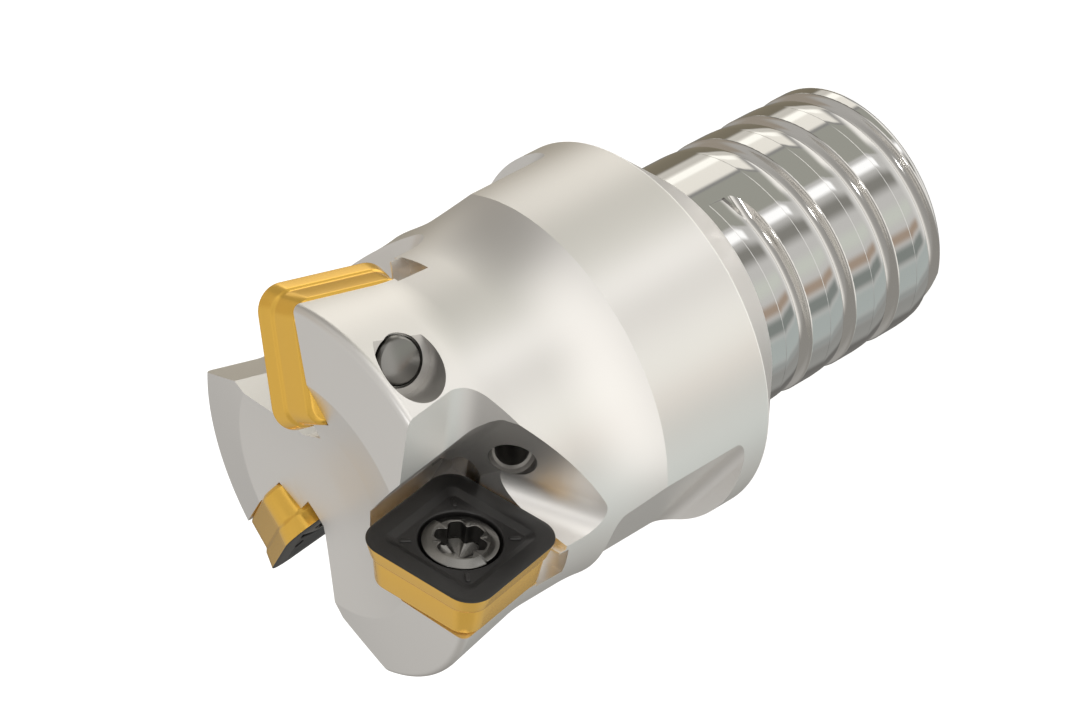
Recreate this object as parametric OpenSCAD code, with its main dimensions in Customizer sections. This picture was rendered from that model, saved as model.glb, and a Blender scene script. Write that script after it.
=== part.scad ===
// Indexable high-feed milling head: a one-piece steel head with a coarse
// screw-in shank, three square high-feed inserts and their clamping screws.
// Millimetres, +Z along the tool axis towards the cutting face, origin at the
// centre of the flat end of the shank.

/* [Shank] */
// Outer diameter of the screw-in shank
shank_d = 23; // [22:0.5:24]
// Height of the rear shoulder of the collar above the shank end
shank_len = 21.8; // [21:0.2:23]
// Pitch of the shank's helical groove
thread_pitch = 5.3; // [5:0.1:5.6]
// Depth of the shank's helical groove
thread_depth = 0.95; // [0.6:0.05:1.2]
// Diameter of the coolant bore in the shank
bore_d = 7; // [5:0.5:8]

/* [Collar and neck] */
// Diameter of the collar
collar_d = 34.2; // [33:0.2:35]
// Height at which the neck starts to taper down from the collar
collar_top = 37.9; // [37:0.2:39]
// Diameter of the waist behind the teeth
waist_d = 31.2; // [31:0.1:31.6]
// Distance across the two wrench flats
across_flats = 29; // [28:0.1:29.4]
// Turn of the wrench flats against the first tooth
flat_angle = -32; // [-40:1:-24]

/* [Teeth] */
// Number of teeth, each with one insert
teeth = 3; // [3:1:3]
// Distance of the middle of each insert's face from the tool axis
seat_r = 10.79; // [10.6:0.05:11]
// Height of the middle of each insert's face above the shank end
seat_z = 54.375; // [54:0.1:55]
// Slope of the front cutting edge
lead_angle = 11.6; // [10:0.1:13]
// Backward lean of the insert's face along the axis
axial_angle = 4.3; // [3:0.1:5]
// Lean of the insert's face across the radius
radial_angle = 3.3; // [2.5:0.1:4]

/* [Insert] */
// Width of the square insert over its cutting edges
insert_w = 12.08; // [11.9:0.02:12.2]
// Radius of the insert's corners
insert_corner = 2.25; // [1.6:0.05:2.6]
// Thickness of the insert
insert_t = 4.6; // [4.4:0.05:4.8]
// Diameter of the insert's screw bore
insert_bore = 4.4; // [4.2:0.05:4.6]

/* [Insert screw] */
// Thread diameter of the insert screw
screw_d = 4; // [3.9:0.05:4.1]
// Diameter of the screw's head
head_d = 6.3; // [6:0.1:6.6]
// Length of the screw below the insert's face
screw_len = 11.25; // [10.5:0.05:11.6]

/* [Hidden] */

collar_r = collar_d / 2;
waist_r = waist_d / 2;
shank_r = shank_d / 2;
seat_t = insert_t;
sink_h = 1.45;                      // height of the cone under the screw's head
mouth_r = head_d / 2 + 0.3;         // mouth of the insert's screw hole
ih = insert_w / 2;
eps = 0.01;

// ---------- small helpers ----------
// Points along an arc
function arc(cx, cy, r, a0, a1, n) =
    [for (i = [0:n]) let (a = a0 + (a1 - a0) * i / n) [cx + r * cos(a), cy + r * sin(a)]];
function unit(v) = v / norm(v);
// Rotation angles that turn the axes onto the unit vectors ex, ey, ez
function angles_of(ex, ey, ez) =
    [atan2(ey[2], ez[2]), -asin(ex[2]), atan2(ex[1], ex[0])];
// Point on both planes n1.X = d1 and n2.X = d2 that is nearest the origin
function meet(n1, d1, n2, d2) =
    let (g = n1 * n2, k = 1 - g * g)
    n1 * ((d1 - g * d2) / k) + n2 * ((d2 - g * d1) / k);

// Cavity between two planes, given by their normals into the metal and their
// distances, with the corner between them rounded to radius r
module wedge(n1, d1, n2, d2, r, len = 90) {
    a = unit(n1);
    b = unit(n2);
    q = 180 - acos(a * b);          // angle of the cavity
    ez = unit(cross(a, b));
    ex = unit(cross(b, ez));        // along plane 2
    s = (ex * a < 0) ? 1 : -1;
    fx = s * ex;                    // away from plane 1
    fy = -b;                        // away from plane 2
    fz = cross(fx, fy);
    t = r / tan(q / 2);
    translate(meet(a, d1, b, d2))
        rotate(angles_of(fx, fy, fz))
            linear_extrude(height = len, center = true)
                polygon(concat(
                    [[60, 0]],
                    arc(t, r, r, -90, -90 - (180 - q), 7),
                    [[60 * cos(q), 60 * sin(q)], [80, 60]]));
}

// Seat frame of tooth k: x outwards along the insert, y back towards the
// shank, z out of the insert's face
module seat(k) {
    rotate([0, 0, 360 / teeth * k])
        translate([seat_r, 0, seat_z])
            rotate([-axial_angle, lead_angle, -radial_angle])
                rotate([-90, 0, 0])
                    children();
}

// ---------- head body ----------
flare = 0.1785;                     // growth of the tooth radius with height
flare_z = 50.5;
corner_x = 16.27;
corner_z = 58.24;
corner_r = 0.7;
body_profile = concat(
    [[0, 0], [shank_r - 0.3, 0], [shank_r, 1.0], [shank_r, shank_len],
     [12.65, shank_len], [collar_r - 0.04, shank_len + 4.70], [collar_r, shank_len + 4.80],
     [collar_r, collar_top]],
    // concave neck
    [for (i = [1:8]) let (z = collar_top + 7.6 * i / 8)
        [waist_r + 20 - sqrt(400 - pow(collar_top + 7.6 - z, 2)), z]],
    [[waist_r, flare_z - 1], [waist_r + 0.06, flare_z + 0.4]],
    [[waist_r + flare * (58.05 - flare_z), 58.05]],
    arc(corner_x, corner_z, corner_r, -10, 80, 6),
    // front cone, inner dish
    [[10.91, 59.87], [5.69, 58.89], [2.4, 58.45], [0, 58.35]]);

module shank_groove() {
    // one ring of the groove's section: height against the groove, radius
    rs = shank_r;
    sec = [[2.35, rs + 0.02], [1.45, rs - 0.05], [0.60, rs - 0.18], [0.36, rs - thread_depth + 0.12],
           [0.15, rs - thread_depth + 0.03], [-0.28, rs - thread_depth + 0.23], [-0.63, rs - 0.22],
           [-0.80, rs + 0.02], [-0.80, rs + 1.5], [2.35, rs + 1.5]];
    m = len(sec);
    step = 15;
    n = 88;
    a0 = 78;
    z0 = 17.75;
    // the cutter lifts out of the metal over the first quarter turn
    function lift(i) = max(0, 1 - i / 4) * (thread_depth + 0.3);
    pts = [for (i = [0:n], j = [0:m - 1])
        let (a = a0 - i * step, r = sec[j][1] + lift(i))
        [r * cos(a), r * sin(a), z0 - thread_pitch * step / 360 * i + sec[j][0]]];
    sides = [for (i = [0:n - 1], j = [0:m - 1]) let (k = (j + 1) % m)
        [i * m + j, i * m + k, (i + 1) * m + k, (i + 1) * m + j]];
    tri = [for (f = sides, h = [0, 1]) h == 0 ? [f[0], f[2], f[1]] : [f[0], f[3], f[2]]];
    ends = [[for (j = [0:m - 1]) j], [for (j = [m - 1:-1:0]) n * m + j]];
    polyhedron(points = pts, faces = concat(tri, ends), convexity = 10);
}

module wrench_flat() {
    // slot across the collar: fillets at both ends of its floor
    d = across_flats / 2;
    r = 1.2;
    z0 = 29;
    z1 = 42.4;
    rotate([90, 0, 0])
        linear_extrude(height = 60, center = true)
            polygon(concat(
                [[d + 8, z0]], arc(d + r, z0 + r, r, 270, 180, 5),
                arc(d + r, z1 - r, r, 180, 90, 5), [[d + 8, z1]]));
}

// planes of the chip pocket in the seat frame
n_inner = [-0.8469, 0, 0.5318];
d_inner = 6.069;
n_rear = [-0.342, 0.862, 0.375];
d_rear = 6.56;
n_floor = [-0.1956, 0.0685, -0.9782];
d_floor = 0.538;

module gash() {
    // upper gullet, cut square to the insert's face
    intersection() {
        wedge([-0.4164, 0.9092, 0], 2.791, [-1, 0, 0], 2.55, 3.2);
        translate([-30, -60, 4.6]) cube([90, 90, 40]);
    }
    // lower gullet, leaning out over the insert
    intersection() {
        wedge(n_rear, d_rear, n_floor, d_floor, 2.2, 60);
        wedge(n_inner, d_inner, n_rear, d_rear + 0.02, 2.6, 60);
    }
}

// everything on the low side of the plane n.X = d
module half(n, d) {
    b = unit(n);
    ex = unit(cross([0, 1, 0], b));
    rotate(angles_of(ex, cross(b, ex), b))
        translate([-90, -90, d / norm(n) - 60]) cube([180, 180, 60]);
}

module pocket() {
    // clearance round the cutting edges, kept off the gullet's walls
    intersection() {
        translate([-6.75, -40, -1.75]) cube([50, 40 + 6.15, 1.75 + 4.5]);
        half(n_rear, d_rear - 0.02);
        half(n_inner, d_inner - 0.02);
    }
    translate([-6.75, -40, -1.70]) cube([50, 40 + 6.15, 1.70 + 0.3]);
    // seat and locating walls
    translate([0, 0, -seat_t]) intersection() {
        translate([-5.50, -40, 0]) cube([50, 40 + 5.50, 3]);
        rotate([0, -6, 0]) translate([-5.14, -60, -10]) cube([80, 120, 30]);
        rotate([-6, 0, 0]) translate([-60, -80, -10]) cube([120, 80 + 5.14, 30]);
    }
    // corner reliefs
    intersection() {
        translate([-6.75, 3, -1.6]) cube([6.75 - 4.43, 4.5, 5.5]);
        half(n_inner, d_inner - 0.025);
    }
    translate([-4.43, 6.17, -seat_t - 0.5]) cylinder(h = 9, r = 1.52, $fn = 40);
    translate([4.9, 5.6, -seat_t - 0.5]) cylinder(h = 3.2, r = 1.5, $fn = 40);
    translate([-5.3, -5.1, -seat_t - 0.5]) cylinder(h = seat_t + 2, r = 1.3, $fn = 40);
}

module screw_hole() {
    translate([0, 0, -20]) cylinder(h = 20, r = screw_d / 2, $fn = 48);
    translate([0, 0, -24]) cylinder(h = 24 - 10.95, r = 2.8, $fn = 48);
    translate([0, 0, -11.2]) cylinder(h = 0.9, r = 2.17, $fn = 48);
}

// straight drilled hole between two points of the head, its mouth opened out
// from the distance s on
module drill(p, q, d, s) {
    v = q - p;
    translate(p) rotate([0, acos(v[2] / norm(v)), atan2(v[1], v[0])]) {
        cylinder(h = norm(v), r = d / 2, $fn = 40);
        translate([0, 0, s - 1.45]) cylinder(h = 1.15, r1 = d / 2, r2 = d / 2 + 0.57, $fn = 40);
        translate([0, 0, s - 0.31]) cylinder(h = 6, r = d / 2 + 0.57, $fn = 40);
    }
}

module head_body() {
    color([0.84, 0.82, 0.79])
    difference() {
        rotate_extrude($fn = 128) polygon(body_profile);
        shank_groove();
        for (s = [0, 1]) rotate([0, 0, flat_angle + 180 * s]) wrench_flat();
        for (k = [0:teeth - 1]) {
            seat(k) {
                gash();
                pocket();
                screw_hole();
            }
            rotate([0, 0, 360 / teeth * k])
                drill([0.4, 0.17, 40.3], [11.48, 4.75, 49.6], 2.8, 12.6);
        }
        // coolant bore with its drill point
        translate([0, 0, -1]) cylinder(h = 42, r = bore_d / 2, $fn = 64);
        translate([0, 0, 40.99]) cylinder(h = 2, r1 = bore_d / 2, r2 = 0.1, $fn = 64);
        translate([0, 0, -0.01]) cylinder(h = 0.81, r1 = bore_d / 2 + 0.8, r2 = bore_d / 2, $fn = 64);
    }
}

// ---------- insert ----------
// rounded square whose sides lie inset by o from the cutting edges
module outline(o) {
    r = insert_corner - 0.6 * o;
    offset(r = r, $fn = 32) square(2 * (ih - o - r), center = true);
}
module layer(z0, o0, z1, o1) {
    hull() {
        translate([0, 0, z0 - eps]) linear_extrude(height = eps) outline(o0);
        translate([0, 0, z1]) linear_extrude(height = eps) outline(o1);
    }
}

module insert_body() {
    t = insert_t;
    difference() {
        union() {
            layer(0, 0, -1.45, 0.35);
            layer(-1.44, 0.35, -1.76, 0.58);
            layer(-1.75, 0.58, -t + 0.35, 0.87);
            layer(-t + 0.36, 0.87, -t, 1.3);
        }
        // clamping bore with its screw seat
        translate([0, 0, -t - 1]) cylinder(h = t + 2, r = insert_bore / 2, $fn = 64);
        translate([0, 0, -1 - sink_h]) cylinder(h = sink_h, r1 = insert_bore / 2, r2 = mouth_r, $fn = 64);
        translate([0, 0, -1.01]) cylinder(h = 2, r = mouth_r, $fn = 64);
        // sunk middle of the face
        translate([0, 0, -0.36]) linear_extrude(height = 1) outline(2.05);
    }
}

module insert(k) {
    color([0.86, 0.65, 0.27]) seat(k) insert_body();
}
module insert_1() { insert(0); }
module insert_2() { insert(1); }
module insert_3() { insert(2); }

// ---------- insert screw ----------
module lobes(r, d) {
    circle(r = r, $fn = 48);
    for (i = [0:5]) rotate([0, 0, 60 * i]) translate([r * 0.93, 0]) circle(d = d, $fn = 24);
}
module screw_body() {
    hr = head_d / 2;
    sr = screw_d / 2;
    br = insert_bore / 2;
    // the head's cone lies on the insert's cone
    s = (mouth_r - br) / sink_h;
    zc = -1 - sink_h;
    difference() {
        rotate_extrude($fn = 64) polygon([
            [0, -screw_len], [sr - 0.28, -screw_len], [sr, -screw_len + 0.35],
            [sr, zc - (br - sr) / s], [hr, zc + (hr - br) / s],
            [hr, -0.54], [hr - 0.8, -0.29], [0, -0.29]]);
        translate([0, 0, -2.3]) linear_extrude(height = 3) rotate([0, 0, 20]) lobes(1.6, 1.1);
    }
}
module insert_screw(k) {
    color([0.33, 0.33, 0.33]) seat(k) screw_body();
}
module insert_screw_1() { insert_screw(0); }
module insert_screw_2() { insert_screw(1); }
module insert_screw_3() { insert_screw(2); }

head_body();
insert_1();
insert_2();
insert_3();
insert_screw_1();
insert_screw_2();
insert_screw_3();
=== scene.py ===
"""Looks of the indexable high-feed milling head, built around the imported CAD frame."""
import bpy
import bmesh
import math
import numpy as np
from mathutils import Matrix, Vector


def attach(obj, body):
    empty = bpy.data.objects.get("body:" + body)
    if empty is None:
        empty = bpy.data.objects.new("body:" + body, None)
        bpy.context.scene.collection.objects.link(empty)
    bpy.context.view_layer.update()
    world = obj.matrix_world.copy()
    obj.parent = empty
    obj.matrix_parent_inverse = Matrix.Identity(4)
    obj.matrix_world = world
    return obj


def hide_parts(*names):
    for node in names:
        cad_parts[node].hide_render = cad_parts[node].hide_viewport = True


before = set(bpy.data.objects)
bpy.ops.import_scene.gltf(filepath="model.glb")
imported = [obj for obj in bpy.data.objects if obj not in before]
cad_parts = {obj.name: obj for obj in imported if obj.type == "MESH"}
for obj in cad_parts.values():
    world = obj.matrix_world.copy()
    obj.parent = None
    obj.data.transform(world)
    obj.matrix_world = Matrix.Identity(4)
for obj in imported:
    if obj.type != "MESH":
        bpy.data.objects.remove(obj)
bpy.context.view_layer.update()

MM = 0.001
TAU = 2 * math.pi
SLOTS = 460

# ------------------------------------------------------------------ frames
def rot(axis, deg):
    a = math.radians(deg)
    c, s = math.cos(a), math.sin(a)
    m = np.eye(4)
    i, j = {"x": (1, 2), "y": (2, 0), "z": (0, 1)}[axis]
    m[i, i] = m[j, j] = c
    m[i, j] = -s
    m[j, i] = s
    return m


def move(x, y, z):
    m = np.eye(4)
    m[:3, 3] = (x, y, z)
    return m


AXIAL, LEAD, RADIAL = 4.3, 11.6, 3.3
SEAT = move(10.79, 0, 54.375) @ rot("z", -RADIAL) @ rot("y", LEAD) @ rot("x", -AXIAL) @ rot("x", -90)


def seat(k):
    """Seat frame of tooth k: x outwards, y back to the shank, z out of the insert's face."""
    return rot("z", 120 * k) @ SEAT


def basis(ex, ey, ez, at=(0, 0, 0)):
    m = np.eye(4)
    m[:3, 0], m[:3, 1], m[:3, 2], m[:3, 3] = ex, ey, ez, at
    return m


# ------------------------------------------------------------------ surfaces
# Every face of a solid carries the number of the surface it lies on. After the
# booleans that number gives the exact normal and the finish of the face.
SURF = []


def surf(kind, M, look, *a):
    SURF.append((kind, np.array(M, float), look, a))
    return len(SURF) - 1


def surf_normals(s, p):
    kind, M, look, a = SURF[s]
    R, t = M[:3, :3], M[:3, 3]
    q = (p - t) @ R
    if kind == "plane":
        n = np.tile(np.array(a[0], float), (len(q), 1))
    elif kind == "cyl":
        n = q.copy()
        n[:, 0] -= a[0]
        n[:, 1] -= a[1]
        n[:, 2] = 0
    elif kind == "line":            # cone, cylinder or plane of a revolve
        phi = np.arctan2(q[:, 1], q[:, 0])
        n = np.stack([a[0] * np.cos(phi), a[0] * np.sin(phi), np.full(len(q), a[1])], 1)
    elif kind == "arc":             # torus of a revolve
        phi = np.arctan2(q[:, 1], q[:, 0])
        r = np.hypot(q[:, 0], q[:, 1])
        nr, nz = r - a[0], q[:, 2] - a[1]
        n = np.stack([nr * np.cos(phi), nr * np.sin(phi), nz], 1)
    elif kind == "spline":          # smooth revolved curve: r against normal angle
        phi = np.arctan2(q[:, 1], q[:, 0])
        r = np.hypot(q[:, 0], q[:, 1])
        g = np.interp(r, a[0], a[1])
        n = np.stack([-g * np.cos(phi), -g * np.sin(phi), np.ones(len(q))], 1)
    else:
        return None
    length = np.linalg.norm(n, axis=1)
    length[length < 1e-9] = 1
    return (n / length[:, None]) @ R.T


# ------------------------------------------------------------------ solids
def solid(name, verts, faces, ids, M=None):
    v = np.array(verts, float)
    if M is not None:
        v = v @ M[:3, :3].T + M[:3, 3]
    me = bpy.data.meshes.new(name)
    me.from_pydata(v.tolist(), [], faces)
    for _ in range(SLOTS):
        me.materials.append(None)
    me.polygons.foreach_set("material_index", np.array(ids, np.int32))
    bm = bmesh.new()
    bm.from_mesh(me)
    bmesh.ops.recalc_face_normals(bm, faces=bm.faces)
    bm.to_mesh(me)
    bm.free()
    o = bpy.data.objects.new(name, me)
    bpy.context.scene.collection.objects.link(o)
    return o


def boolean(a, tool, op="DIFFERENCE", solver="MANIFOLD"):
    bpy.context.view_layer.update()
    m = a.modifiers.new("b", "BOOLEAN")
    m.operation = op
    m.solver = solver
    m.object = tool
    dg = bpy.context.evaluated_depsgraph_get()
    me = bpy.data.meshes.new_from_object(a.evaluated_get(dg))
    a.modifiers.clear()
    old = a.data
    if len(me.polygons) == 0 and solver == "MANIFOLD":
        bpy.data.meshes.remove(me)
        return boolean(a, tool, op, "EXACT")
    a.data = me
    bpy.data.meshes.remove(old)
    t = tool.data
    bpy.data.objects.remove(tool)
    bpy.data.meshes.remove(t)
    return a


def arc(cx, cy, r, a0, a1, n):
    return [(cx + r * math.cos(math.radians(a0 + (a1 - a0) * i / n)),
             cy + r * math.sin(math.radians(a0 + (a1 - a0) * i / n))) for i in range(n + 1)]


def prism(name, poly, kinds, z0, z1, M, look="satin"):
    """Polygon extruded along local z. kinds names each side: None is flat, (cx, cy) belongs to a cylinder."""
    n = len(poly)
    v = [(x, y, z0) for x, y in poly] + [(x, y, z1) for x, y in poly]
    f, ids, seen = [], [], {}
    for i in range(n):
        k = (i + 1) % n
        f.append((i, k, n + k, n + i))
        if kinds[i] is None:
            dx, dy = poly[k][0] - poly[i][0], poly[k][1] - poly[i][1]
            ids.append(surf("plane", M, look, (dy, -dx, 0)))
        else:
            key = kinds[i]
            if key not in seen:
                seen[key] = surf("cyl", M, look, key[0], key[1])
            ids.append(seen[key])
    f.append(tuple(range(n))[::-1])
    ids.append(surf("plane", M, look, (0, 0, -1)))
    f.append(tuple(range(n, 2 * n)))
    ids.append(surf("plane", M, look, (0, 0, 1)))
    return solid(name, v, f, ids, M)


def drum(name, r, z0, z1, M, look="satin", n=72, cx=0.0, cy=0.0):
    poly = [(cx + r * math.cos(TAU * i / n), cy + r * math.sin(TAU * i / n)) for i in range(n)]
    return prism(name, poly, [(cx, cy)] * n, z0, z1, M, look)


def turned(name, prof, n=96, M=None, look="satin", looks=None):
    """Solid of revolution about local z. prof is a list of (r, z, kind); kind belongs to the stretch
    that starts at the point: None for a straight one, or (rc, zc) for an arc about that centre."""
    M = np.eye(4) if M is None else M
    looks = looks or {}
    rings, v, f, ids = [], [], [], []
    for r, z, _ in prof:
        if r < 1e-6:
            rings.append([len(v)])
            v.append((0, 0, z))
        else:
            rings.append(list(range(len(v), len(v) + n)))
            v += [(r * math.cos(TAU * i / n), r * math.sin(TAU * i / n), z) for i in range(n)]
    seen = {}
    for j in range(len(prof) - 1):
        (r0, z0, kind), (r1, z1, _) = prof[j], prof[j + 1]
        lk = looks.get(j, look)
        if kind is None:
            d = math.hypot(r1 - r0, z1 - z0)
            s = surf("line", M, lk, (z1 - z0) / d, -(r1 - r0) / d)
        elif isinstance(kind[0], str):
            if kind not in seen:
                seen[kind] = surf("spline", M, lk, HUB[0], HUB[1])
            s = seen[kind]
        else:
            if kind not in seen:
                seen[kind] = surf("arc", M, lk, kind[0], kind[1])
            s = seen[kind]
        a, b = rings[j], rings[j + 1]
        for i in range(n):
            k = (i + 1) % n
            if len(a) == 1 and len(b) == 1:
                continue
            if len(a) == 1:
                f.append((a[0], b[k], b[i]))
            elif len(b) == 1:
                f.append((a[i], a[k], b[0]))
            else:
                f.append((a[i], a[k], b[k], b[i]))
            ids.append(s)
    return solid(name, v, f, ids, M)


def wedge(name, n1, d1, n2, d2, r, M, look="satin", length=90, n=14, reach=60):
    """Cavity between two planes given by normals into the metal, its corner rounded to r."""
    a = np.array(n1, float) / np.linalg.norm(n1)
    b = np.array(n2, float) / np.linalg.norm(n2)
    q = math.pi - math.acos(a @ b)
    ez = np.cross(a, b)
    ez /= np.linalg.norm(ez)
    ex = np.cross(b, ez)
    if ex @ a > 0:
        ex = -ex
    # away from plane 1 along plane 2, and away from plane 2
    fx, fy = ex, -b
    fz = np.cross(fx, fy)
    g = a @ b
    k = 1 - g * g
    at = a * ((d1 - g * d2) / k) + b * ((d2 - g * d1) / k)
    t = r / math.tan(q / 2)
    fil = arc(t, r, r, -90, -90 - (180 - math.degrees(q)), n)
    poly = [(reach, 0)] + fil + [(reach * math.cos(q), reach * math.sin(q)), (reach * 1.3, reach)]
    kinds = [None] + [(t, r)] * n + [None, None, None]
    return prism(name, poly, kinds, -length / 2, length / 2, M @ basis(fx, fy, fz, at), look)


def block(name, lo, hi, M, look="satin"):
    poly = [(lo[0], lo[1]), (hi[0], lo[1]), (hi[0], hi[1]), (lo[0], hi[1])]
    return prism(name, poly, [None] * 4, lo[2], hi[2], M, look)


# ------------------------------------------------------------------ head body
def hub_curve():
    """Front dish near the axis: height against radius, smooth through the middle."""
    r = np.linspace(0, 5.69, 24)
    z = 58.36 + (58.89 - 58.36) * (r / 5.69) ** 1.6
    g = np.gradient(z, r)
    return r, z, g


hr_, hz_, hg_ = hub_curve()
HUB = (hr_, hg_)

SHANK_R, WAIST_R, COLLAR_R = 11.5, 15.6, 17.097
FLARE = 0.1785


def body_profile():
    p = [(0, 21.8, None), (12.65, 21.8, None)]
    edge = arc(COLLAR_R - 0.22, 26.63, 0.22, -43.2, 0, 8)
    p += [(x, z, (COLLAR_R - 0.22, 26.63) if i < 8 else None) for i, (x, z) in enumerate(edge)]
    p.append((COLLAR_R, 37.9, (35.6, 45.5)))
    for i in range(1, 24):
        z = 37.9 + 7.6 * i / 24
        p.append((WAIST_R + 20 - math.sqrt(400 - (45.5 - z) ** 2), z, (35.6, 45.5)))
    p.append((WAIST_R, 45.5, None))
    # short blend into the flare
    R, a = 14.0, math.atan(FLARE)
    zc, rc = 50.5 - R * math.tan(a / 2), WAIST_R + R
    for i in range(0, 9):
        t = a * i / 8
        p.append((rc - R * math.cos(t), zc + R * math.sin(t), (rc, zc) if i < 8 else None))
    # rounded outer corner between flare and front cone
    s1 = (1.0, FLARE)                          # direction (dz, dr)
    n1 = np.array([math.cos(a), -math.sin(a)])  # outward normal (r, z)
    b = math.atan(0.171)
    n2 = np.array([math.sin(b), math.cos(b)])
    # circle of radius rr tangent to both
    rr = 0.7
    c1 = n1 @ np.array([WAIST_R, 50.5]) - rr
    c2 = n2 @ np.array([10.91, 59.87]) - rr
    c = np.linalg.solve(np.array([n1, n2]), np.array([c1, c2]))
    a0, a1 = math.degrees(math.atan2(n1[1], n1[0])), math.degrees(math.atan2(n2[1], n2[0]))
    pts = arc(c[0], c[1], rr, a0, a1, 12)
    for i, (x, z) in enumerate(pts):
        p.append((x, z, (float(c[0]), float(c[1])) if i < 12 else None))
    # front cone, edge circle, dish
    e = 0.05
    p.append((10.91 + e, 59.87 - 0.171 * e, None))
    p.append((10.91 - e, 59.87 - 0.188 * e, None))
    p.append((5.69, 58.89, ("hub", 0)))
    for r, z in list(zip(hr_, hz_))[-2:0:-1]:
        p.append((float(r), float(z), ("hub", 0)))
    p.append((0, float(hz_[0]), None))
    return p


N_INNER, D_INNER = (-0.8469, 0, 0.5318), 6.069
N_REAR, D_REAR = (-0.342, 0.862, 0.375), 6.56
N_FLOOR, D_FLOOR = (-0.1956, 0.0685, -0.9782), 0.538


def gash_high(k):
    M = seat(k)
    a = wedge("gh", (-0.4164, 0.9092, 0), 2.791, (-1, 0, 0), 2.55, 3.2, M)
    return boolean(a, block("gb", (-30, -60, 4.6), (60, 30, 45), M), "INTERSECT")


def gash_low(k):
    M = seat(k)
    a = wedge("gl", N_REAR, D_REAR, N_FLOOR, D_FLOOR, 2.2, M, length=60)
    b = wedge("gi", N_INNER, D_INNER, N_REAR, D_REAR + 0.02, 2.6, M, length=60)
    return boolean(a, b, "INTERSECT")


def half(name, n, d, M):
    """Everything on the low side of the plane n.p = d."""
    n = np.array(n, float) / np.linalg.norm(n)
    ex = np.cross((0, 1, 0), n)
    ex /= np.linalg.norm(ex)
    return block(name, (-90, -90, -60), (90, 90, 0), M @ basis(ex, np.cross(n, ex), n, n * d))


def pocket_tools(k):
    M = seat(k)
    # room round the upper part of the insert, clear of the gullet's fillets
    a = block("p0", (-6.75, -40, -1.75), (45, 6.15, 4.5), M)
    a = boolean(a, half("p0r", N_REAR, D_REAR - 0.01, M), "INTERSECT")
    yield boolean(a, half("p0i", N_INNER, D_INNER - 0.01, M), "INTERSECT")
    yield block("p0b", (-6.75, -40, -1.70), (45, 6.15, 0.3), M)
    a = block("p1", (-5.50, -40, 0), (45, 5.50, 3), M @ move(0, 0, -4.6))
    b = block("p2", (-5.14, -60, -10), (75, 60, 20), M @ move(0, 0, -4.6) @ rot("y", -6))
    c = block("p3", (-60, -80, -10), (60, 5.14, 20), M @ move(0, 0, -4.6) @ rot("x", -6))
    a = boolean(a, b, "INTERSECT")
    yield boolean(a, c, "INTERSECT")
    # the recess behind the insert corner is in a darker steel: painted shade in the recess
    a = block("p4", (-6.75, 3.0, -1.6), (-4.43, 7.5, 2.0), M, "relief")
    yield boolean(a, half("p4i", N_INNER, D_INNER - 0.012, M), "INTERSECT")
    yield drum("r0", 1.52, -5.1, 3.92, M, "relief", cx=-4.43, cy=6.17)
    yield drum("r1", 1.5, -5.1, -1.9, M, cx=4.9, cy=5.6)
    yield drum("r2", 1.3, -5.1, 1.0, M, cx=-5.3, cy=-5.1)


def screw_hole_tools(k):
    M = seat(k)
    yield drum("s0", 2.0, -20, 0.5, M, n=64)
    # the counterbore wall is in a darker steel: painted shade inside the hole
    yield drum("s1", 2.8, -24, -10.95, M, "hole", n=96)
    # the narrow gap round the screw's end is in the darkest steel: painted shade in the gap
    yield drum("s2", 2.17, -11.2, -10.3, M, "dark", n=96)


def along(p, q):
    p, q = np.array(p, float), np.array(q, float)
    ez = (q - p) / np.linalg.norm(q - p)
    ex = np.cross((0, 0, 1), ez)
    ex /= np.linalg.norm(ex)
    return basis(ex, np.cross(ez, ex), ez, p), float(np.linalg.norm(q - p))


def coolant_tools(k):
    M, L = along((0.4, 0.17, 40.3), (11.48, 4.75, 49.6))
    M = rot("z", 120 * k) @ M
    # the drilled hole and its softened mouth are in a darker steel: painted shade inside the hole
    yield drum("c0", 1.4, 0, L, M, "hole", n=72)
    # softened mouth where it breaks through the gullet wall
    s = 12.60
    yield turned("c1", [(0, s - 4, None), (1.36, s - 1.55, None), (1.40, s - 1.45, None), (1.62, s - 1.22, None),
                        (1.86, s - 0.80, None), (1.97, s - 0.30, None), (1.98, s + 6, None), (0, s + 6, None)], 72, M, "hole")


def flat_tool(s):
    d, r, z0, z1, n = 14.5, 1.2, 29.0, 42.4, 10
    M = rot("z", -32 + 180 * s) @ rot("x", 90)
    lo = arc(d + r, z0 + r, r, 270, 180, n)
    hi = arc(d + r, z1 - r, r, 180, 90, n)
    poly = [(d + 8, z0)] + lo + hi + [(d + 8, z1)]
    kinds = [None] + [(d + r, z0 + r)] * n + [None] + [(d + r, z1 - r)] * n + [None, None]
    return prism("flat", poly[::-1], (kinds[:-1][::-1] + [None]), -30, 30, M, "satin")


def make_head():
    # the collar's rear edge round gets a paler, smoother, less metallic steel: a painted highlight along the edge
    o = turned("head", body_profile(), 360, None, "satin", {j: "edge" for j in range(2, 10)})
    for s in (0, 1):
        boolean(o, flat_tool(s))
    for k in range(3):
        boolean(o, gash_high(k))
        boolean(o, gash_low(k))
        for t in pocket_tools(k):
            boolean(o, t)
        for t in screw_hole_tools(k):
            boolean(o, t)
        for t in coolant_tools(k):
            boolean(o, t)
    # the central bore is in the darkest steel: painted shade inside the bore
    boolean(o, drum("bore", 3.5, 20, 41, np.eye(4), "dark", 96))
    return o


# ------------------------------------------------------------------ shank
PITCH = 5.3


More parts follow.
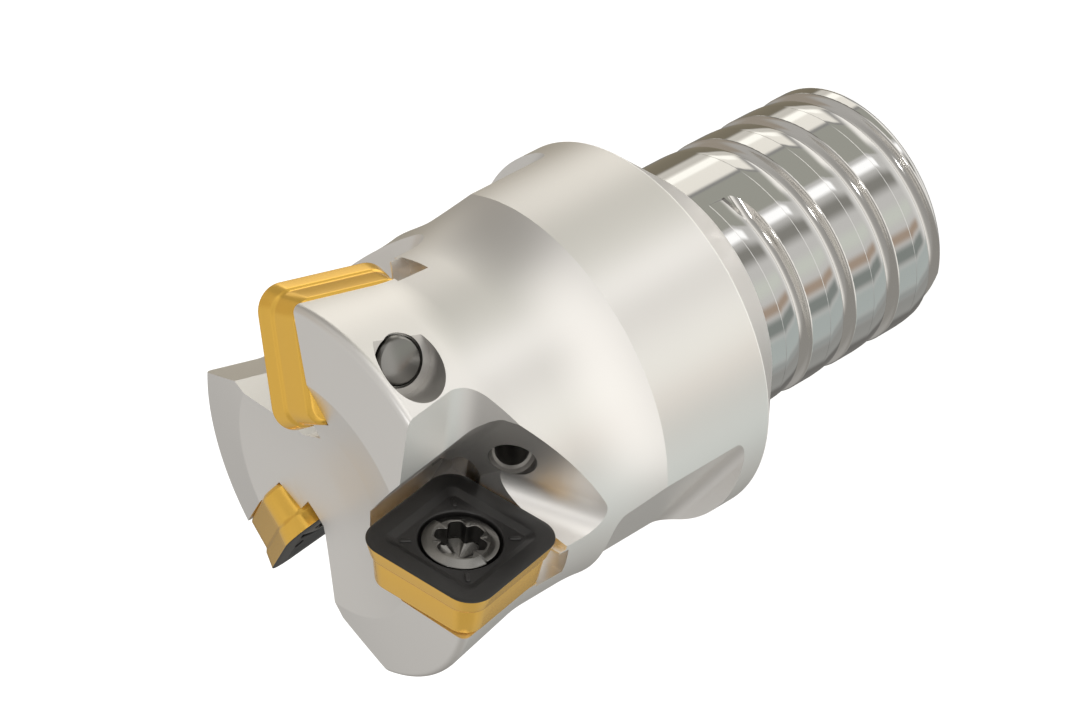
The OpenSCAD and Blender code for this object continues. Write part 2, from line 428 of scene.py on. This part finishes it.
def groove_section():
    """Half section of the thread: (along the axis, radius), from the chamfered start of the
    low band, over the band, down the steep flank, round the root and up the ramp to the crest."""
    p = [(2.40, 0.013), (2.30, -0.020)]
    for i in range(1, 9):
        t = 1.66 * i / 8
        p.append((2.30 - t, -0.006 - 0.012 * t - 0.050 * t * t))
    p += [(0.585, -0.183), (0.54, -0.212), (0.50, -0.255), (0.475, -0.31), (0.39, -0.70), (0.355, -0.80), (0.30, -0.875),
          (0.20, -0.922), (0.05, -0.90), (-0.12, -0.83), (-0.28, -0.72), (-0.42, -0.575), (-0.54, -0.40),
          (-0.63, -0.22), (-0.695, -0.095), (-0.735, -0.045), (-0.785, -0.014), (-0.84, 0.0), (-0.90, 0.012)]
    return np.array(p)


SEC = groove_section()
SEC_N = None
GROOVE_A0, GROOVE_Z0, RUNOUT = 78.0, 17.75, 15.0


def section_normals():
    d = np.diff(SEC, axis=0)
    L = np.linalg.norm(d, axis=1)
    n = np.stack([d[:, 1], -d[:, 0]], 1) / L[:, None]     # (along axis, radius), outwards
    v = np.zeros_like(SEC)
    w = L / (L + 0.02)
    v[0], v[-1] = n[0], n[-1]
    for i in range(1, len(SEC) - 1):
        v[i] = n[i - 1] * w[i - 1] ** 2 + n[i] * w[i] ** 2
    v[1] = n[1]
    return v / np.linalg.norm(v, axis=1)[:, None], n


def helix_normals(q, part):
    """Exact normals of the helical groove; nan where the run-out lifts the tool.
    part 0 is the chamfer at the start of the low band, part 1 is all the rest."""
    vn, fn = section_normals()
    phi = np.degrees(np.arctan2(q[:, 1], q[:, 0]))
    r = np.hypot(q[:, 0], q[:, 1]) - SHANK_R
    out = np.full((len(q), 3), np.nan)
    c = PITCH / TAU
    for i in range(len(q)):
        best = None
        for k in range(5):
            a = (GROOVE_A0 - phi[i]) % 360 + 360 * k
            s = q[i, 2] - (GROOVE_Z0 - PITCH * a / 360)
            if -1.0 < s < 2.5 and (a > RUNOUT or s > 0.75):
                best = s
                break
        if best is None:
            continue
        p = np.array([best, r[i]])
        e = SEC[1:] - SEC[:-1]
        t = np.clip(np.einsum("ij,ij->i", p - SEC[:-1], e) / np.einsum("ij,ij->i", e, e), 0, 1)
        dist = np.linalg.norm(SEC[:-1] + e * t[:, None] - p, axis=1)
        j = 1 + int(dist[1:].argmin())
        n = vn[j] * (1 - t[j]) + vn[j + 1] * t[j] if part else fn[0]
        nz, nr = n / np.linalg.norm(n)
        f = math.radians(phi[i])
        er, ep = np.array([math.cos(f), math.sin(f), 0]), np.array([-math.sin(f), math.cos(f), 0])
        m = nr * er + nz * np.array([0, 0, 1.0]) - c / (r[i] + SHANK_R) * nz * ep
        out[i] = m / np.linalg.norm(m)
    return out


def groove_tool():
    m = len(SEC) + 2
    step, n = 3.75, 358
    v = []
    for i in range(n + 1):
        ang = i * step
        a = math.radians(GROOVE_A0 - ang)
        lift = 0.95 * max(0.0, 1 - ang / RUNOUT) ** 1.4
        zc = GROOVE_Z0 - PITCH * ang / 360
        for dz, r in [tuple(x) for x in SEC] + [(-0.90, 1.6), (2.40, 1.6)]:
            up = lift * min(1.0, max(0.0, (0.62 - dz) / 0.1)) if r < 1 else 0
            v.append(((SHANK_R + r + up) * math.cos(a), (SHANK_R + r + up) * math.sin(a), zc + dz))
    f, ids = [], []
    first = surf("helix", np.eye(4), "mirror", 0)
    band = surf("helix", np.eye(4), "mirror", 1)
    body = surf("helix", np.eye(4), "groove", 1)
    cap = surf("face", np.eye(4), "mirror")
    for i in range(n):
        for j in range(m):
            k = (j + 1) % m
            f.append((i * m + j, i * m + k, (i + 1) * m + k, (i + 1) * m + j))
            ids.append(first if j == 0 else band if j < 9 else body if j < len(SEC) - 1 else cap)
    f.append(tuple(range(m)))
    ids.append(cap)
    f.append(tuple(n * m + j for j in range(m))[::-1])
    ids.append(cap)
    return solid("groove", v, f, ids)


def make_shank():
    # the end edge rolls over gently into the end face
    end = arc(10.775, 0.5, 0.725, -43.6, 0, 10)
    p = [(0, 0, None)] + [(x, max(z, 0.0), (10.775, 0.5) if i < 10 else None) for i, (x, z) in enumerate(end)]
    p += [(11.5, 21.9, None), (0, 21.9, None)]
    o = turned("shank", p, 360, None, "mirror")
    boolean(o, groove_tool())
    # the bore is in the darkest steel: painted shade inside the bore
    boolean(o, drum("sb", 3.5, -1, 23, np.eye(4), "dark", 96))
    boolean(o, turned("sc", [(0, -0.8, None), (5.1, -0.8, None), (3.4, 0.9, None), (0, 0.9, None)], 96, None, "mirror"))
    return o


# ------------------------------------------------------------------ finishing a solid
def dress(o, mats, auto_smooth=35.0):
    """Turn surface numbers into exact normals and finishes; scale to metres."""
    me = o.data
    nl, npoly = len(me.loops), len(me.polygons)
    co = np.empty(len(me.vertices) * 3)
    me.vertices.foreach_get("co", co)
    co = co.reshape(-1, 3)
    lv = np.empty(nl, np.int32)
    me.loops.foreach_get("vertex_index", lv)
    ids = np.empty(npoly, np.int32)
    me.polygons.foreach_get("material_index", ids)
    fn = np.empty(npoly * 3)
    me.polygons.foreach_get("normal", fn)
    fn = fn.reshape(-1, 3)
    tot = np.empty(npoly, np.int32)
    me.polygons.foreach_get("loop_total", tot)
    start = np.empty(npoly, np.int32)
    me.polygons.foreach_get("loop_start", start)
    lp = np.empty(nl, np.int32)
    for i in range(npoly):
        lp[start[i]:start[i] + tot[i]] = i
    area = np.empty(npoly)
    me.polygons.foreach_get("area", area)
    out = fn[lp].copy()
    look = np.array([SURF[s][2] for s in ids])
    loop_ids = ids[lp]
    for s in np.unique(ids):
        sel = np.nonzero(loop_ids == s)[0]
        if SURF[s][0] in ("face", "helix"):
            # smooth over neighbours of the same surface
            acc = {}
            for L in sel:
                acc.setdefault(lv[L], np.zeros(3))
                acc[lv[L]] += fn[lp[L]] * area[lp[L]]
            n = np.array([acc[lv[L]] for L in sel])
            n /= np.maximum(np.linalg.norm(n, axis=1), 1e-12)[:, None]
            if SURF[s][0] == "helix":
                h = helix_normals(co[lv[sel]], SURF[s][3][0])
                ok = ~np.isnan(h[:, 0])
                n[ok] = h[ok]
        else:
            n = surf_normals(s, co[lv[sel]])
        d = np.einsum("ij,ij->i", n, fn[lp[sel]])
        n[d < 0] *= -1
        bad = np.abs(d) < 0.5
        n[bad] = fn[lp[sel]][bad]
        out[sel] = n
    me.polygons.foreach_set("use_smooth", np.ones(npoly, bool))
    names = list(dict.fromkeys(look))
    me.materials.clear()
    for nm in names:
        me.materials.append(mats[nm])
    me.polygons.foreach_set("material_index", np.array([names.index(x) for x in look], np.int32))
    me.vertices.foreach_set("co", (co * MM).ravel())
    me.update()
    me.normals_split_custom_set([tuple(x) for x in out])
    return o


# ------------------------------------------------------------------ materials
def material(name):
    m = bpy.data.materials.new(name)
    m.use_nodes = True
    nt = m.node_tree
    bs = nt.nodes["Principled BSDF"]
    return m, nt, bs


def node(nt, kind, **kw):
    n = nt.nodes.new(kind)
    for k, v in kw.items():
        if k.startswith("_"):
            setattr(n, k[1:], v)
        else:
            n.inputs[k.replace("__", " ")].default_value = v
    return n


def coords(nt, scale=(1, 1, 1)):
    tc = nt.nodes.new("ShaderNodeTexCoord")
    mp = nt.nodes.new("ShaderNodeMapping")
    mp.inputs["Scale"].default_value = scale
    nt.links.new(tc.outputs["Object"], mp.inputs["Vector"])
    return mp


def metal(name, color, rough, vary=0.05, rough_vary=0.04, grain=(9000, 9000, 9000), bump=0.02, bump_dist=0.00002,
          tint=None, edge=0.00008, metallic=1.0, spec_tint=None):
    """Metal with fine procedural grain in colour, roughness and relief, and softened edges."""
    m, nt, bs = material(name)
    bs.inputs["Metallic"].default_value = metallic
    mp = coords(nt)
    big = node(nt, "ShaderNodeTexNoise", Scale=60.0, Detail=3.0)
    nt.links.new(mp.outputs[0], big.inputs["Vector"])
    mp2 = coords(nt, grain)
    fine = node(nt, "ShaderNodeTexNoise", Scale=1.0, Detail=2.0)
    nt.links.new(mp2.outputs[0], fine.inputs["Vector"])
    ramp = nt.nodes.new("ShaderNodeValToRGB")
    c = np.array(color)
    lo, hi = np.clip(c * (1 - vary), 0, 1), np.clip(c * (1 + vary), 0, 1)
    ramp.color_ramp.elements[0].position = 0.3
    ramp.color_ramp.elements[1].position = 0.7
    ramp.color_ramp.elements[0].color = (*lo, 1)
    ramp.color_ramp.elements[1].color = (*hi, 1)
    if tint is not None:
        ramp.color_ramp.elements[0].color = (*tint, 1)
    nt.links.new(big.outputs["Fac"], ramp.inputs["Fac"])
    nt.links.new(ramp.outputs["Color"], bs.inputs["Base Color"])
    mr = nt.nodes.new("ShaderNodeMapRange")
    mr.inputs["To Min"].default_value = max(rough - rough_vary, 0.0)
    mr.inputs["To Max"].default_value = rough + rough_vary
    nt.links.new(fine.outputs["Fac"], mr.inputs["Value"])
    nt.links.new(mr.outputs[0], bs.inputs["Roughness"])
    bp = nt.nodes.new("ShaderNodeBump")
    bp.inputs["Strength"].default_value = bump
    bp.inputs["Distance"].default_value = bump_dist
    nt.links.new(fine.outputs["Fac"], bp.inputs["Height"])
    if edge > 0:
        be = nt.nodes.new("ShaderNodeBevel")
        be.samples = 4
        be.inputs["Radius"].default_value = edge
        nt.links.new(be.outputs["Normal"], bp.inputs["Normal"])
    nt.links.new(bp.outputs["Normal"], bs.inputs["Normal"])
    return m


MATS = {
    "satin": metal("steel_satin", (0.87, 0.85, 0.825), 0.42, 0.012, 0.03, edge=0.0),
    # paler, less metallic steel on the collar's rear edge round: a painted highlight line
    "edge": metal("steel_edge_painted_highlight", (0.98, 0.965, 0.925), 0.30, 0.01, 0.02, edge=0.0, metallic=0.35),
    "groove": metal("steel_groove", (0.64, 0.625, 0.60), 0.10, 0.01, 0.012, bump=0.0, edge=0.0),
    "mirror": metal("steel_polished", (0.56, 0.555, 0.545), 0.06, 0.01, 0.015, bump=0.0, edge=0.0),
    # darker steel for the recess behind each insert: painted shade
    "relief": metal("steel_relief_painted_shade", (0.64, 0.625, 0.61), 0.45, 0.03, 0.04, edge=0.0),
    # darker steel for drilled holes and counterbores: painted shade inside them
    "hole": metal("steel_drilled_painted_shade", (0.57, 0.555, 0.535), 0.40, 0.02, 0.04, edge=0.0),
    # darkest steel for bores and the gap round the screw's end: painted shade
    "dark": metal("steel_bore_painted_shade", (0.45, 0.44, 0.42), 0.4, 0.03, 0.05, edge=0.0),
}

head = dress(make_head(), MATS)
head.name = "head_body_steel"
shank = dress(make_shank(), MATS)
shank.name = "shank_thread_steel"

# ------------------------------------------------------------------ inserts and screws
def rsq(h, r, nc=18, ns=8):
    """Rounded square of half width h, corner radius r; the same count of points for any size."""
    p = []
    for sx, sy, a0 in ((1, 1, 0), (-1, 1, 90), (-1, -1, 180), (1, -1, 270)):
        for i in range(nc + 1):
            a = math.radians(a0 + 90 * i / nc)
            p.append((sx * (h - r) + r * math.cos(a), sy * (h - r) + r * math.sin(a)))
        # straight side to the next corner
        x0, y0 = p[-1]
        a = math.radians(a0 + 90)
        nx, ny = {0: (-(h - r), h), 90: (-h, -(h - r)), 180: (h - r, -h), 270: (h, h - r)}[a0]
        for i in range(1, ns):
            t = i / ns
            p.append((x0 + (nx - x0) * t, y0 + (ny - y0) * t))
    return p


REF = rsq(6.034, 2.25)
ANG = [math.atan2(y, x) for x, y in REF]


def circ(r):
    return [(r * math.cos(a), r * math.sin(a)) for a in ANG]


def loft(name, rings, looks, close=True, caps=False):
    """Mesh over rings of equal length; looks[i] is the finish between ring i and i+1."""
    m = len(rings[0])
    v = [q for ring in rings for q in ring]
    f, mi = [], []
    names = list(dict.fromkeys(looks))
    n = len(rings)
    for i in range(n if close else n - 1):
        k = (i + 1) % n
        for j in range(m):
            l = (j + 1) % m
            f.append((i * m + j, i * m + l, k * m + l, k * m + j))
            mi.append(names.index(looks[i]))
    if caps:
        f.append(tuple(range(m))[::-1])
        mi.append(names.index(looks[0]))
        f.append(tuple((n - 1) * m + j for j in range(m)))
        mi.append(names.index(looks[-1]))
    me = bpy.data.meshes.new(name)
    me.from_pydata([tuple(c * MM for c in q) for q in v], [], f)
    for nm in names:
        me.materials.append(MATS[nm])
    me.polygons.foreach_set("material_index", np.array(mi, np.int32))
    bm = bmesh.new()
    bm.from_mesh(me)
    bmesh.ops.recalc_face_normals(bm, faces=bm.faces)
    for fc in bm.faces:
        fc.smooth = True
    for e in bm.edges:
        if len(e.link_faces) == 2 and e.calc_face_angle(0) > math.radians(38):
            e.smooth = False
    bm.to_mesh(me)
    bm.free()
    o = bpy.data.objects.new(name, me)
    bpy.context.scene.collection.objects.link(o)
    return o


def place(o, k):
    M = seat(k).copy()
    M[:3, 3] *= MM
    o.data.transform(Matrix(M.tolist()))
    return o


MATS["gold"] = metal("coating_gold", (1.0, 0.59, 0.10), 0.20, 0.02, 0.002, bump=0.0, edge=0.0, metallic=0.62)
MATS["char"] = metal("coating_dark", (0.021, 0.020, 0.0195), 0.34, 0.15, 0.05, edge=0.0, metallic=0.0)
MATS["screw"] = metal("screw_steel", (0.215, 0.21, 0.20), 0.24, 0.03, 0.04, bump=0.01, edge=0.0)


def make_insert(k):
    H, R, T = 6.034, 2.25, 4.6

    def sq(o, z, r=None):
        r = (R - 0.6 * o) if r is None else r
        return [(x, y, z) for x, y in rsq(H - o, r)]

    def ci(r, z):
        return [(x, y, z) for x, y in circ(r)]

    rings, looks = [], []

    def add(ring, look):
        rings.append(ring)
        looks.append(look)

    # from the screw seat out over the face, down the flank, back through the bottom
    add(ci(2.2, -2.45), "char")
    add(ci(3.42, -1.0), "char")
    add(ci(3.42, -0.55), "char")
    for i in range(0, 6):
        t = math.radians(90 * i / 5)
        add(ci(3.42 + 0.18 * (1 - math.cos(t)), -0.54 + 0.18 * math.sin(t)), "char")
    add(sq(2.24, -0.36, 0.46), "char")
    add(sq(2.16, -0.345, 0.50), "char")
    add(sq(1.60, -0.035, 0.74), "char")
    add(sq(1.50, -0.01, 0.80), "char")
    add(sq(0.42, 0.0, 1.86), "char")
    add(sq(0.32, -0.005, 1.94), "char")
    add(sq(0.05, -0.04, 2.21), "char")
    add(sq(0.012, -0.06, 2.24), "char")
    add(sq(0.0, -0.09, 2.25), "gold")
    add(sq(0.012, -0.14), "gold")
    add(sq(0.335, -1.38), "gold")
    add(sq(0.365, -1.46), "gold")
    add(sq(0.42, -1.53), "gold")
    add(sq(0.52, -1.66), "gold")
    add(sq(0.565, -1.74), "gold")
    add(sq(0.585, -1.84), "gold")
    add(sq(0.86, -T + 0.40), "gold")
    add(sq(0.89, -T + 0.32), "gold")
    add(sq(0.96, -T + 0.24), "gold")
    add(sq(1.22, -T + 0.03), "gold")
    add(sq(1.30, -T), "gold")
    add(ci(2.45, -T), "gold")
    add(ci(2.2, -T + 0.25), "gold")
    o = loft(f"insert_{k + 1}_coated", rings, looks)
    return place(o, k)


def capsule(name, length, width, height, at, ang, look, sink=0.02):
    """Small raised dash lying on a face."""
    n = 10
    rings = []
    for o_, z in ((0.0, -sink), (0.0, height * 0.45), (width * 0.12, height * 0.85), (width * 0.28, height)):
        w = width / 2 - o_
        ring = []
        for s, a0 in ((1, -90), (-1, 90)):
            for i in range(n + 1):
                a = math.radians(a0 + 180 * i / n)
                ring.append((s * (length / 2 - width / 2) + w * math.cos(a), w * math.sin(a), z))
        rings.append(ring)
    c, s = math.cos(math.radians(ang)), math.sin(math.radians(ang))
    rings = [[(at[0] + c * x - s * y, at[1] + s * x + c * y, at[2] + z) for x, y, z in r] for r in rings]
    return loft(name, rings, [look] * len(rings), close=False, caps=True)


def make_marks(k):
    out = []
    for i, a in enumerate((45, 135, 225, 315)):
        d = 4.40
        p = (d * math.cos(math.radians(a)), d * math.sin(math.radians(a)), -0.36)
        out.append(capsule(f"insert_{k + 1}_dash_{i + 1}", 1.0, 0.40, 0.13, p, a, "char"))
    bpy.ops.object.select_all(action="DESELECT")
    for o in out:
        o.select_set(True)
    bpy.context.view_layer.objects.active = out[0]
    bpy.ops.object.join()
    o = bpy.context.view_layer.objects.active
    o.name = f"insert_{k + 1}_dashes"
    return place(o, k)


def lobe(th, ro, ri):
    """Six-lobed outline: radius against angle."""
    c = math.cos(3 * (th - math.radians(20))) ** 2
    return ri + (ro - ri) * (1 - (1 - c) ** 2.6)


def make_screw(k):
    N = 240
    th = [TAU * i / N for i in range(N)]

    def ci(r, z, step=0.0):
        out = []
        for a in th:
            dz = 0.0
            if step:
                u = ((a - math.radians(170)) % math.pi) / math.pi
                dz = step * (0.5 - u)
            out.append((r * math.cos(a), r * math.sin(a), z + dz))
        return out

    def lb(ro, ri, z):
        return [(lobe(a, ro, ri) * math.cos(a), lobe(a, ro, ri) * math.sin(a), z) for a in th]

    rings, looks = [], []

    def add(ring, look="screw"):
        rings.append(ring)
        looks.append(look)

    L = 11.25
    add([(0.02 * math.cos(a), 0.02 * math.sin(a), -2.62) for a in th], "screw")
    add(lb(2.06, 1.50, -2.06), "screw")
    # the socket walls are in a darker copy of the screw steel: painted shade inside the socket
    add(lb(2.10, 1.55, -1.98), "screwdark")
    add(lb(2.13, 1.58, -0.40), "screwdark")
    add(lb(2.15, 1.60, -0.32), "screw")
    add(lb(2.19, 1.65, -0.29), "screw")
    add(ci(2.36, -0.29), "screw")
    add(ci(2.40, -0.30, 0.06), "screw")
    add(ci(3.06, -0.49, 0.20), "screw")
    add(ci(3.12, -0.53, 0.20), "screw")
    add(ci(3.145, -0.60, 0.12), "screw")
    add(ci(3.15, -0.72), "screw")
    add(ci(3.15, -1.35), "screw")
    add(ci(2.0, -2.68), "screw")
    z = -2.9
    while z > -L + 0.8:
        add(ci(2.0, z), "screw")
        add(ci(1.72, z - 0.24), "screw")
        add(ci(1.72, z - 0.30), "screw")
        add(ci(2.0, z - 0.54), "screw")
        z -= 0.7
    add(ci(2.0, -L + 0.38), "screw")
    add(ci(1.74, -L + 0.02), "screw")
    add(ci(1.70, -L), "screw")
    add([(0.02 * math.cos(a), 0.02 * math.sin(a), -L) for a in th], "screw")
    o = loft(f"insert_screw_{k + 1}_steel", rings, looks, close=False, caps=True)
    return place(o, k)


# darker copy of the screw steel for the socket walls: painted shade
MATS["screwdark"] = metal("screw_socket_painted_shade", (0.16, 0.155, 0.15), 0.35, 0.06, 0.05, edge=0.0)

pieces = []
for k in range(3):
    i = make_insert(k)
    d = make_marks(k)
    s = make_screw(k)
    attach(i, "root")
    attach(d, "root")
    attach(s, "root")
    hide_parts(f"insert_{k + 1}")
    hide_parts(f"insert_screw_{k + 1}")

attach(head, "root")
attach(shank, "root")
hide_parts("head_body")

# ------------------------------------------------------------------ stage
def floor():
    me = bpy.data.meshes.new("floor")
    s = 1.5
    me.from_pydata([(-s, -s, 0), (s, -s, 0), (s, s, 0), (-s, s, 0)], [], [(0, 1, 2, 3)])
    o = bpy.data.objects.new("floor", me)
    bpy.context.scene.collection.objects.link(o)
    m, nt, bs = material("floor_white")
    bs.inputs["Base Color"].default_value = (0.9, 0.9, 0.9, 1)
    bs.inputs["Roughness"].default_value = 0.9
    bs.inputs["Specular IOR Level"].default_value = 0.0
    bs.inputs["Emission Color"].default_value = (1, 1, 1, 1)
    bs.inputs["Emission Strength"].default_value = 0.72
    me.materials.append(m)
    o.location = (0, 0, -0.0002)
    # the floor is a translucent light table: it shows, and the studio below it lights the head
    o.visible_glossy = False
    o.visible_diffuse = False
    o.visible_shadow = False
    return o


floor()


# Studio: an even grey room with soft cards hung round the head. Each card is
# (azimuth, half width, soft edge, lowest, highest elevation, soft edge, colour), in degrees.
FRONT = [(-90, 1.2), (-62, 1.3), (-50, 0.88), (-20, 0.88), (-10, 1.42), (6, 1.2), (28, 0.52), (60, 0.42), (90, 0.6)]
BACK = [(-90, 0.75), (-60, 0.42), (-45, 0.33), (-10, 0.33), (12, 0.47), (33, 0.58), (60, 0.58), (90, 0.7)]
CARDS = [
    (103, 20, 3, -48, -18, 6, (0.53, 0.53, 0.47)),
    (148, 17, 5, -44, -31, 4, (1.38, 1.33, 1.22)),
    (154, 3, 4, -42, -32, 4, (1.75, 1.72, 1.60)),
    (125, 20, 20, -80, -52, 6, (1.5, 1.46, 1.39)),
    (140, 30, 15, -20, 5, 8, (0.25, 0.24, 0.22)),
    (168, 4, 6, -48, -18, 6, (0.92, 0.88, 0.80)),
    (-166, 16, 8, -48, -18, 6, (0.28, 0.245, 0.18)),
    (-116, 20, 18, -62, -5, 12, (0.20, 0.193, 0.182)),
    (-78, 6, 14, -48, -18, 6, (0.43, 0.43, 0.41)),
    (-60, 1, 7, -48, -18, 6, (0.48, 0.50, 0.485)),
    (-41, 8, 12, -52, -12, 16, (0.64, 0.70, 0.68)),
    (-17, 3, 9, -48, -18, 6, (0.35, 0.38, 0.36)),
    (0, 1, 8, -48, -18, 6, (0.60, 0.47, 0.37)),
    (21, 1, 12, -48, -18, 6, (0.93, 0.96, 0.88)),
    (53, 2, 12, -48, -18, 6, (0.37, 0.36, 0.33)),
    (165, 15, 12, 5, 40, 10, (0.45, 0.40, 0.34)),
    (72, 2.5, 5, -41, -26, 4, (1.8, 1.8, 1.8)),
    (-64, 16, 22, -4, 60, 12, (0.38, 0.37, 0.35)),
]


def studio():
    w = bpy.data.worlds.new("studio")
    bpy.context.scene.world = w
    w.use_nodes = True
    nt = w.node_tree
    bg = nt.nodes["Background"]
    tc = nt.nodes.new("ShaderNodeTexCoord")
    sp = nt.nodes.new("ShaderNodeSeparateXYZ")
    nt.links.new(tc.outputs["Generated"], sp.inputs[0])

    def mathn(op, a, b=None, **kw):
        n = nt.nodes.new("ShaderNodeMath")
        n.operation = op
        for i, x in enumerate((a, b)):
            if x is None:
                continue
            if isinstance(x, (int, float)):
                n.inputs[i].default_value = x
            else:
                nt.links.new(x, n.inputs[i])
        return n.outputs[0]

    az = mathn("MULTIPLY", mathn("ARCTAN2", sp.outputs["Y"], sp.outputs["X"]), 180 / math.pi)
    el = mathn("MULTIPLY", mathn("ARCSINE", sp.outputs["Z"]), 180 / math.pi)
    turn = mathn("DIVIDE", mathn("ADD", el, 90.0), 180.0)

    def room(stops):
        ramp = nt.nodes.new("ShaderNodeValToRGB")
        cr = ramp.color_ramp
        while len(cr.elements) < len(stops):
            cr.elements.new(0.5)
        for e, (deg, v) in zip(cr.elements, stops):
            e.position = (deg + 90) / 180
            e.color = (v, v * 0.985, v * 0.955, 1)
        nt.links.new(turn, ramp.inputs["Fac"])
        return ramp.outputs["Color"]

    def near(a, half, soft):
        d = mathn("ABSOLUTE", mathn("WRAP", mathn("SUBTRACT", az, float(a)), 180.0))
        d.node.inputs[0].links[0].from_node.inputs[2].default_value = -180.0
        dn = nt.nodes.new("ShaderNodeMapRange")
        dn.interpolation_type = "SMOOTHSTEP"
        dn.inputs["From Min"].default_value = half
        dn.inputs["From Max"].default_value = half + soft
        dn.inputs["To Min"].default_value = 1.0
        dn.inputs["To Max"].default_value = 0.0
        nt.links.new(d, dn.inputs["Value"])
        return dn.outputs[0]

    def mix(w, a, b):
        mx = nt.nodes.new("ShaderNodeMix")
        mx.data_type = "RGBA"
        nt.links.new(w, mx.inputs[0])
        nt.links.new(a, mx.inputs[6])
        if isinstance(b, tuple):
            mx.inputs[7].default_value = (*b, 1)
        else:
            nt.links.new(b, mx.inputs[7])
        return mx.outputs[2]

    col = mix(near(25, 45, 72), room(BACK), room(FRONT))

    def window(x, lo, hi, soft):
        up = nt.nodes.new("ShaderNodeMapRange")
        up.interpolation_type = "SMOOTHSTEP"
        up.inputs["From Min"].default_value = lo - soft
        up.inputs["From Max"].default_value = lo
        nt.links.new(x, up.inputs["Value"])
        dn = nt.nodes.new("ShaderNodeMapRange")
        dn.interpolation_type = "SMOOTHSTEP"
        dn.inputs["From Min"].default_value = hi
        dn.inputs["From Max"].default_value = hi + soft
        dn.inputs["To Min"].default_value = 1.0
        dn.inputs["To Max"].default_value = 0.0
        nt.links.new(x, dn.inputs["Value"])
        return mathn("MULTIPLY", up.outputs[0], dn.outputs[0])

    for a, half, soft, lo, hi, esoft, c in CARDS:
        col = mix(mathn("MULTIPLY", near(a, half, soft), window(el, lo, hi, esoft)), col, c)
    nt.links.new(col, bg.inputs["Color"])
    bg.inputs["Strength"].default_value = 1.0


studio()


def area(name, loc, target, size, power, color=(1, 1, 1), size_y=None):
    d = bpy.data.lights.new(name, "AREA")
    d.energy = power
    d.color = color
    d.size = size
    if size_y:
        d.shape = "RECTANGLE"
        d.size_y = size_y
    o = bpy.data.objects.new(name, d)
    bpy.context.scene.collection.objects.link(o)
    o.location = loc
    o.rotation_euler = (Vector(target) - Vector(loc)).to_track_quat("-Z", "Y").to_euler()
    return o


area("key", (0.22, 0.26, 0.49), (0, 0, 0.035), 0.05, 0.3)

# ------------------------------------------------------------------ camera
cam = bpy.data.cameras.new("camera")
cam.lens = 108.305
cam.sensor_width = 36.0
cam.sensor_fit = "HORIZONTAL"
cam.clip_start = 0.01
cam.clip_end = 10
co = bpy.data.objects.new("camera", cam)
bpy.context.scene.collection.objects.link(co)
right, up, back = (0.658299, 0.01409, -0.752624), (-0.489574, 0.767493, -0.413849), (0.571803, 0.640902, 0.512138)
m = Matrix(((right[0], up[0], back[0], 0.1552347), (right[1], up[1], back[1], 0.1757533),
            (right[2], up[2], back[2], 0.1756832), (0, 0, 0, 1)))
co.matrix_world = m
bpy.context.scene.camera = co
bpy.context.scene.view_settings.view_transform = "Standard"
